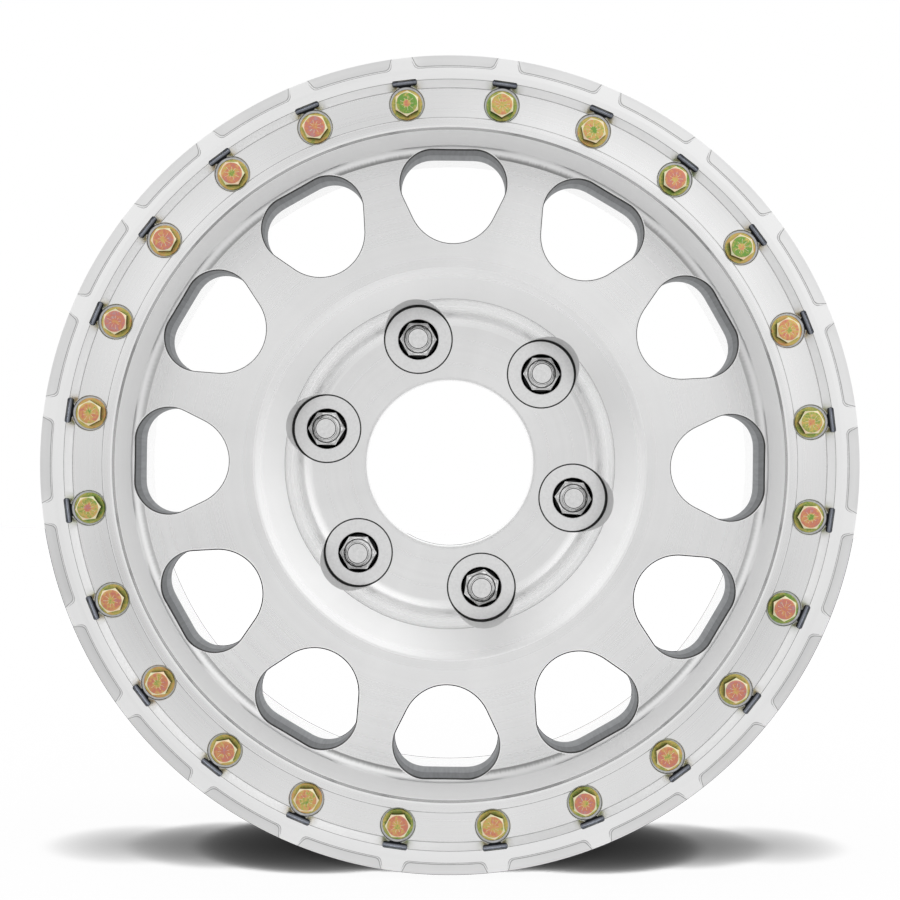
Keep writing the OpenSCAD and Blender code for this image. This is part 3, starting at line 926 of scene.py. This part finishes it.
def make_ring(materials):
    bm = new_mesh()
    line, bands = banded(ring_profile(), step=12)
    line = [(r, z + seat_z) for r, z in line]
    spin(bm, line, 480, finish=bands)
    made = piece("bead_ring_dressed", bm, materials)
    face_line = [p for p in line if p[1] > seat_z + notch_z and p[0] > land_out_r]
    cuts = new_mesh()
    cut_notches(cuts, face_line)
    carve(made, piece("cuts", cuts, []))
    for cut in (cut_bolt_seats, cut_bolt_holes, cut_slots):
        cuts = new_mesh()
        cut(cuts)
        carve(made, piece("cuts", cuts, []))
    return made


# Fasteners

def flats(af):
    """The radius of a hexagon at an angle in degrees, for a width across flats."""
    return lambda a: af / 2 / cos(radians((a + 30) % 60 - 30))


def chamfered(af, top, crown_r):
    """The height at which a hexagon's side meets a 30 degree chamfer that starts at the crown."""
    return lambda a: top - (flats(af)(a) - crown_r) * tan(radians(30))


def add_rib(bm, centre, angle, start, end, width, low, high, tint):
    """One raised mark on a bolt's head, along a radius, with a painted highlight on top."""
    layer = bm.verts.layers.float_color.get("tint")
    along = (cos(radians(angle)), sin(radians(angle)))
    across = (-along[1], along[0])
    floor, top = [], []
    for d, w in ((start, -width * 0.6), (end, -width), (end, width), (start, width * 0.6)):
        x = centre[0] + along[0] * d + across[0] * w
        y = centre[1] + along[1] * d + across[1] * w
        floor.append(bm.verts.new(placed(x, y, low)))
        x = centre[0] + along[0] * d + across[0] * w * 0.5
        y = centre[1] + along[1] * d + across[1] * w * 0.5
        top.append(bm.verts.new(placed(x, y, high)))
    for v in floor + top:
        v[layer] = (tint, tint, tint, 1)
    bm.faces.new(top).material_index = HEAD_HIGHLIGHT
    bm.faces.new(floor[::-1])
    for i in range(4):
        j = (i + 1) % 4
        bm.faces.new([floor[i], floor[j], top[j], top[i]])


# How each head came to rest and how the plate's film shows on it, counterclockwise from the top: the
# angle of one of its corners, its tint and the tint of its heart
HEADS = (
    (30, 0.04, 0.75), (55, 0.74, 0.55), (2, 0.62, 0.16), (3, 0.74, 0.48),
    (29, 0.80, 0.62), (28, 0.48, 0.32), (7, 0.30, 0.85), (13, 0.68, 0.42),
    (5, 0.62, 0.30), (10, 0.60, 0.80), (0, 0.46, 0.28), (1, 0.62, 0.45),
    (40, 0.48, 0.36), (35, 0.76, 0.34), (33, 0.66, 0.36), (30, 0.78, 0.62),
    (28, 0.70, 0.55), (0, 0.68, 0.30), (2, 0.34, 0.70), (30, 0.58, 0.36),
    (38, 0.10, 0.50), (28, 0.70, 0.30), (42, 0.38, 0.08), (30, 0.46, 0.24),
)


def make_bolts(materials):
    draw = random.Random(11)
    bm = new_mesh(tinted=True)
    base = seat_z + head_z
    top = base + bolt_head_h
    crown = top - bolt_crown_drop
    tip = base - bolt_l
    for k, (at, hue, heart) in enumerate(HEADS):
        x, y, _ = spun_round((0, bolt_r, 0), (k + 0.5) * bolt_pitch)
        head_turn = at - 30
        rings = [
            (0, tip), (bolt_shank_r - 0.8, tip), (bolt_shank_r, tip + 0.8), (bolt_shank_r, base),
            (flats(bolt_af), base), (flats(bolt_af), chamfered(bolt_af, crown, bolt_crown_r + 0.15)),
            (bolt_crown_r + 0.15, crown), (bolt_crown_r - 0.1, top), (bolt_crown_r * 0.8, top),
            (bolt_crown_r * 0.42, top), (bolt_crown_r * 0.26, top), (0, top)
        ]
        tint = [hue] * 9 + [hue, heart, heart]
        # The hexagon's flanks take a painted shade, and its chamfer a painted highlight
        finish = [HEAD] * 4 + [FLANK_SHADE, HEAD_HIGHLIGHT, HEAD_HIGHLIGHT] + [HEAD] * 4
        spin(bm, rings, 48, centre=(x, y), turn=head_turn, closed=False, finish=finish, tint=tint)
        for i in range(bolt_mark_count):
            end = draw.uniform(*bolt_mark_end)
            start = draw.uniform(*bolt_mark_start)
            angle = head_turn + i * 360 / bolt_mark_count
            add_rib(bm, (x, y), angle, start, end, bolt_mark_w, crown, top + bolt_mark_h, hue)
    return piece("ring_bolts_dressed", bm, materials)


def make_washers(material):
    draw = random.Random(5)
    bm = new_mesh(tinted=True)
    low = seat_z + pocket_z
    high = low + washer_t
    for k in range(bolt_count):
        x, y, _ = spun_round((0, bolt_r, 0), (k + 0.5) * bolt_pitch)
        rings = [
            (hole_r, low), (washer_r - washer_edge, low), (washer_r, low + washer_edge),
            (washer_r, high - washer_round), (washer_r - washer_round, high),
            (washer_r - washer_rim_w, high), (hole_r, high)
        ]
        hue = draw.uniform(0.10, 0.36)
        # The top round is tinted towards gold as a painted highlight, and the edge at the hole a little
        # greener
        tint = [hue, hue, hue, hue, hue + 0.08, hue, hue - 0.05]
        spin(bm, rings, 48, centre=(x, y), tint=tint)
    return piece("ring_washers_dressed", bm, [material])


def make_nuts(materials):
    bm = new_mesh()
    top = nut_hex_z + nut_dome_h
    side = flats(nut_af)
    slope = chamfered(nut_af, nut_hex_z, nut_crown_r + nut_crown_line)
    body = [
        (0, nut_bore_top), (nut_bore_r, nut_bore_top), (nut_bore_r, nut_base_z), (nut_toe_r, nut_base_z),
        (nut_collar_r, nut_collar_z), (nut_collar_r, nut_hex_foot_z - 0.8),
        (nut_collar_r - 0.8, nut_hex_foot_z), (lambda a: side(a) - 0.01, nut_hex_foot_z),
        (side, nut_hex_foot_z + 0.01), (side, lambda a: slope(a) - nut_break),
        (lambda a: side(a) - nut_break, slope), (nut_crown_r + nut_crown_line, nut_hex_z)
    ]
    dome = corner((nut_crown_r, nut_hex_z), (nut_top_r, top), (0, top), nut_dome_round, 12)
    foot = [(nut_crown_r, nut_hex_z + 0.05), (dome[0][0] + 0.22, dome[0][1] - 0.7)]
    crown = [(dome[-1][0] - nut_top_line, top), (0, top)]
    # The nut's mouth, base, collar, hex flanks and fine lines at the crown and round the top are painted
    # dark as shade; the edge break and the dome carry a painted highlight.
    finish = [CHROME_SHADE] * 9 + [CHROME_HIGHLIGHT, CHROME, CHROME_SHADE, CHROME, CHROME_SHADE]
    finish += [CHROME_HIGHLIGHT] * (len(dome) - 1) + [CHROME_SHADE, CHROME]
    for k, at in enumerate(NUT_CORNERS):
        x, y, _ = spun_round((0, lug_r, 0), lug_turn + k * 360 / lug_count)
        spin(bm, body + foot + dome + crown, 72, centre=(x, y), turn=at - 30, closed=False, finish=finish)
    return piece("lug_nuts_dressed", bm, materials)


# Stage

def make_floor():
    size = 4
    bm = bmesh.new()
    low = cad_low.z
    corners = [(-size, -size, low), (size, -size, low), (size, size, low), (-size, size, low)]
    bm.faces.new([bm.verts.new(p) for p in corners])
    material, tree, shader = nodes_of("floor_white", 0.0, 0.9)
    shader.inputs["Base Color"].default_value = (0.9, 0.9, 0.9, 1)
    floor = piece("floor", bm, [material])
    floor.is_shadow_catcher = True
    floor.visible_glossy = False
    floor.visible_diffuse = False
    return floor


# Brightness of the studio's soft boxes round the wheel's axis, by share of a turn from the right:
# near the camera, out to the side, and behind the wheel. AHEAD is the wall right behind the camera.
# A fade says where one gives way to the next, by share of the way from behind the camera to the back.
NEAR_BOXES = (
    (0.000, 0.85), (0.042, 1.00), (0.125, 1.06), (0.208, 1.05), (0.250, 0.80), (0.292, 0.45),
    (0.333, 0.75), (0.375, 0.98), (0.417, 0.95), (0.458, 0.87), (0.500, 0.70), (0.556, 0.48),
    (0.597, 0.55), (0.625, 0.65), (0.694, 0.77), (0.806, 0.83), (0.861, 0.80), (0.903, 0.60),
    (0.931, 0.50), (0.972, 0.70), (1.000, 0.85),
)
SIDE_BOXES = (
    (0.000, 0.98), (0.042, 1.05), (0.208, 1.05), (0.250, 0.90), (0.292, 0.72), (0.333, 0.90),
    (0.375, 0.98), (0.458, 0.96), (0.500, 0.92), (0.569, 0.80), (0.625, 0.86), (0.750, 0.84),
    (0.833, 0.88), (0.917, 0.88), (0.958, 0.95), (1.000, 0.98),
)
BACK_BOXES = ((0.0, 1.00), (0.25, 1.00), (0.5, 1.00), (0.75, 0.96), (1.0, 1.00))
AHEAD = 0.74
AHEAD_FADE = ((0.0, 1.0), (0.006, 0.7), (0.014, 0.0))
SIDE_FADE = ((0.125, 0.0), (0.325, 1.0))
BACK_FADE = ((0.45, 0.0), (0.6, 1.0))
matt_light = 0.9


def mixed(tree, factor, a, b):
    node = tree.nodes.new("ShaderNodeMix")
    node.data_type = "RGBA"
    tree.links.new(factor, node.inputs["Factor"])
    tree.links.new(a, node.inputs["A"])
    tree.links.new(b, node.inputs["B"])
    return node.outputs["Result"]


def make_world():
    """White for the camera, even light on matt surfaces, and rings of soft boxes in the metal's gloss."""
    world = bpy.data.worlds.new("studio")
    bpy.context.scene.world = world
    world.use_nodes = True
    tree = world.node_tree
    tree.nodes.clear()
    split = tree.nodes.new("ShaderNodeSeparateXYZ")
    tree.links.new(tree.nodes.new("ShaderNodeTexCoord").outputs["Generated"], split.inputs[0])
    x, y, z = split.outputs
    turn = math_node(tree, "ARCTAN2", z, x)
    share = math_node(tree, "FRACT", math_node(tree, "ADD", math_node(tree, "DIVIDE", turn, 2 * pi), 1))
    near, side, back = [ramp(tree, share, boxes, "EASE") for boxes in (NEAR_BOXES, SIDE_BOXES, BACK_BOXES)]
    depth = math_node(tree, "ADD", math_node(tree, "MULTIPLY", y, 0.5), 0.5)
    ahead = ramp(tree, depth, AHEAD_FADE)
    aside = ramp(tree, depth, SIDE_FADE)
    behind = ramp(tree, depth, BACK_FADE)
    wall = ramp(tree, depth, ((0.0, AHEAD),))
    glossy = mixed(tree, behind, mixed(tree, aside, mixed(tree, ahead, near, wall), side), back)
    rays = tree.nodes.new("ShaderNodeLightPath")
    plain = tree.nodes.new("ShaderNodeBackground")
    plain.inputs["Color"].default_value = (1, 1, 1, 1)
    plain.inputs["Strength"].default_value = matt_light
    studio = tree.nodes.new("ShaderNodeBackground")
    tree.links.new(glossy, studio.inputs["Color"])
    white = tree.nodes.new("ShaderNodeBackground")
    white.inputs["Color"].default_value = (1, 1, 1, 1)
    inner = tree.nodes.new("ShaderNodeMixShader")
    outer = tree.nodes.new("ShaderNodeMixShader")
    seen = math_node(tree, "MAXIMUM", rays.outputs["Is Camera Ray"], rays.outputs["Is Transmission Ray"])
    tree.links.new(rays.outputs["Is Glossy Ray"], inner.inputs[0])
    tree.links.new(plain.outputs[0], inner.inputs[1])
    tree.links.new(studio.outputs[0], inner.inputs[2])
    tree.links.new(seen, outer.inputs[0])
    tree.links.new(inner.outputs[0], outer.inputs[1])
    tree.links.new(white.outputs[0], outer.inputs[2])
    out = tree.nodes.new("ShaderNodeOutputWorld")
    tree.links.new(outer.outputs[0], out.inputs[0])


def place_lamp(data, place, aim, only):
    """A lamp that lights only the named objects."""
    lamp = bpy.data.objects.new(data.name, data)
    bpy.context.scene.collection.objects.link(lamp)
    lamp.location = place
    lamp.rotation_euler = (Vector(aim) - Vector(place)).to_track_quat("-Z", "Y").to_euler()
    group = bpy.data.collections.new(data.name + "_takers")
    for o in only:
        group.objects.link(o)
    lamp.light_linking.receiver_collection = group
    return lamp


def make_floor_lights(floor):
    """An even fill that casts no shadow, and a fan of narrow beams from above that the wheel blocks,
    so that its shadow is a long oval that fades to its ends. A beam's light falls evenly from its axis
    to its edge, as a cone does."""
    fill = bpy.data.lights.new("floor_fill", "SUN")
    fill.energy = floor_fill
    fill.use_shadow = False
    low = cad_low.z
    place_lamp(fill, (0, 0, 2), (0, 0, low), [floor])
    turn = radians(beam_turn)
    for number, (reach, radius, share) in enumerate(BEAMS):
        for side in (-1, 1):
            beam = bpy.data.lights.new(f"floor_beam_{number}_{side}", "AREA")
            beam.size = beam_lamp
            beam.spread = 2 * atan2(radius, hypot(reach, lamp_rise))
            beam.energy = share * floor_fill * pi * radius ** 2 / 3
            aim = (beam_x + side * reach * cos(turn), beam_y + side * reach * sin(turn), low)
            place_lamp(beam, (beam_x, beam_y, low + lamp_rise), aim, [floor])


def make_camera():
    data = bpy.data.cameras.new("camera")
    data.lens = focal_mm
    data.sensor_width = 36
    camera = bpy.data.objects.new("camera", data)
    bpy.context.scene.collection.objects.link(camera)
    camera.matrix_world = (
        Matrix.Translation((0, camera_y, camera_z))
        @ Matrix.Rotation(radians(90), 4, "X")
        @ Matrix.Rotation(radians(camera_roll), 4, "Z")
    )
    bpy.context.scene.camera = camera


# Painted shade across a relief slot, dark in its depth, and across the round in the recess, from inner to
# outer edge
SLOT_SHADE = ((0.0, 0.02), (0.45, 0.03), (0.75, 0.5), (1.0, 1.0))
RECESS_SHADE = ((0.0, 1.0), (0.35, 1.0), (0.8, 0.94), (1.0, 0.78))


def forging_finishes():
    return [
        turned("face_turned", 0.92, 0.98, 0.28, lean=4),
        turned("lip_bored", 0.98, 1.0, 0.45, 0.4, 0.15, 0.8),
        chatter_and_painted_shade("fillet_chatter_and_painted_shade", 0.92, 0.98, 0.35),
        turned("bevel_turned", 0.97, 1.0, 0.30, 0.6, 1.0, 0.64),
        painted_shade_by_radius(turned("recess_turned", 0.97, 1.0, 0.28, 0.6, 1.0, 0.4),
               recess_r - recess_fillet, recess_r, RECESS_SHADE),
        turned("pad_turned", 0.90, 0.95, 0.30, 0.6),
        turned("back_turned", 0.78, 0.86, 0.34, 0.6),
        turned("barrel_turned", 0.97, 1.0, 0.22, 0.3),
        # The windows' walls are painted dark as shade, the part towards the street darker than the part
        # behind
        ribbed("window_wall_front_painted_shade", (0.075, 0.083, 0.092), (0.12, 0.13, 0.142), 0.45),
        ribbed("window_wall_back_painted_shade", (0.19, 0.20, 0.215), (0.25, 0.265, 0.28), 0.45),
        # The holes, seats and nut mouths, painted near black as shade
        milled("bore_painted_shade", 0.08, 0.13, 0.4),
        milled("spot_faced", 0.88, 0.94, 0.3, 0.9),
        milled("spot_wall", 0.80, 0.90, 0.4, 0.3),
        # Near-black painted shade: the lines at the recess's edge and the windows' edges, and the spot
        # faces' grooves and wall feet
        milled("painted_shade_line", 0.02, 0.04, 0.6, 0.3),
        # A painted highlight along rounded and broken edges
        turned("edge_painted_highlight", 0.97, 1.0, 0.42, 0.3, 0.3, 0.3),
    ]


def ring_finishes():
    return [
        turned("land_turned", 0.91, 0.97, 0.28),
        turned("step_turned", 0.96, 1.0, 0.30),
        turned("crest_turned", 0.97, 1.0, 0.40, 0.5, 0.35),
        turned("notch_turned", 0.83, 0.93, 0.32, 0.5),
        milled("pocket_floor", 0.60, 0.70, 0.4, 0.8),
        painted_shade_by_radius(milled("relief_slot_painted_shade", (0.70, 0.73, 0.80), (0.80, 0.83, 0.90), 0.5),
               slot_in_r, slot_in_r + slot_w, SLOT_SHADE),
        # The ring's bore, painted dark as shade
        turned("ring_bore_painted_shade", 0.32, 0.40, 0.25),
        turned("ring_back", 0.80, 0.88, 0.34, 0.6),
        # Painted shade on the pockets' foot and walls and in the bolt holes
        milled("ring_painted_shade", 0.10, 0.16, 0.6, 0.3),
        # A painted highlight along the ring's rounded edges, the pockets' edges and walls, and the notches'
        # floors
        turned("ring_edge_painted_highlight", 0.97, 1.0, 0.42, 0.3, 0.2),
        # Painted soft shade lines at the ring's steps and notches
        milled("ring_painted_soft_shade", 0.46, 0.56, 0.5, 0.4),
    ]


def bolt_finishes():
    return [
        zinc("zinc_bolt", 1.0, 0.34),
        # A painted highlight on the heads' chamfers and marks, and a painted shade on their flanks
        zinc_painted_light("zinc_painted_highlight", (1.0, 0.78, 0.55), (0.88, 0.90, 0.60), 0.4),
        zinc_painted_light("zinc_painted_shade", (0.11, 0.07, 0.012), (0.06, 0.08, 0.02), 0.4),
    ]


def nut_finishes():
    return [
        chrome("nut_chrome", 0.82, 0.92),
        # A painted highlight on the nuts' edge break and dome, and painted dark shade on their mouth,
        # flanks and fine lines
        chrome("nut_painted_highlight", 0.98, 1.0, 0.3, 0.45),
        chrome("nut_painted_shade", 0.03, 0.06, 0.3),
    ]


def dress():
    made = (
        (make_forging(forging_finishes()), "wheel_forging", "forging"),
        (make_ring(ring_finishes()), "bead_ring", "ring"),
        (make_bolts(bolt_finishes()), "ring_bolts", "bolt_zinc"),
        (make_washers(zinc("zinc_washer", 0.6, 0.36)), "ring_washers", "washer_zinc"),
        (make_nuts(nut_finishes()), "lug_nuts", "nut_chrome"),
    )
    for dressed, node, slot in made:
        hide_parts(node)
        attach(dressed, "root")
    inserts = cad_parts["thread_inserts"]
    inserts.data.materials.clear()
    inserts.data.materials.append(milled("insert_steel", 0.30, 0.40, 0.35))


dress()
floor = make_floor()
make_world()
make_floor_lights(floor)
make_camera()
bpy.context.scene.view_settings.view_transform = "Standard"
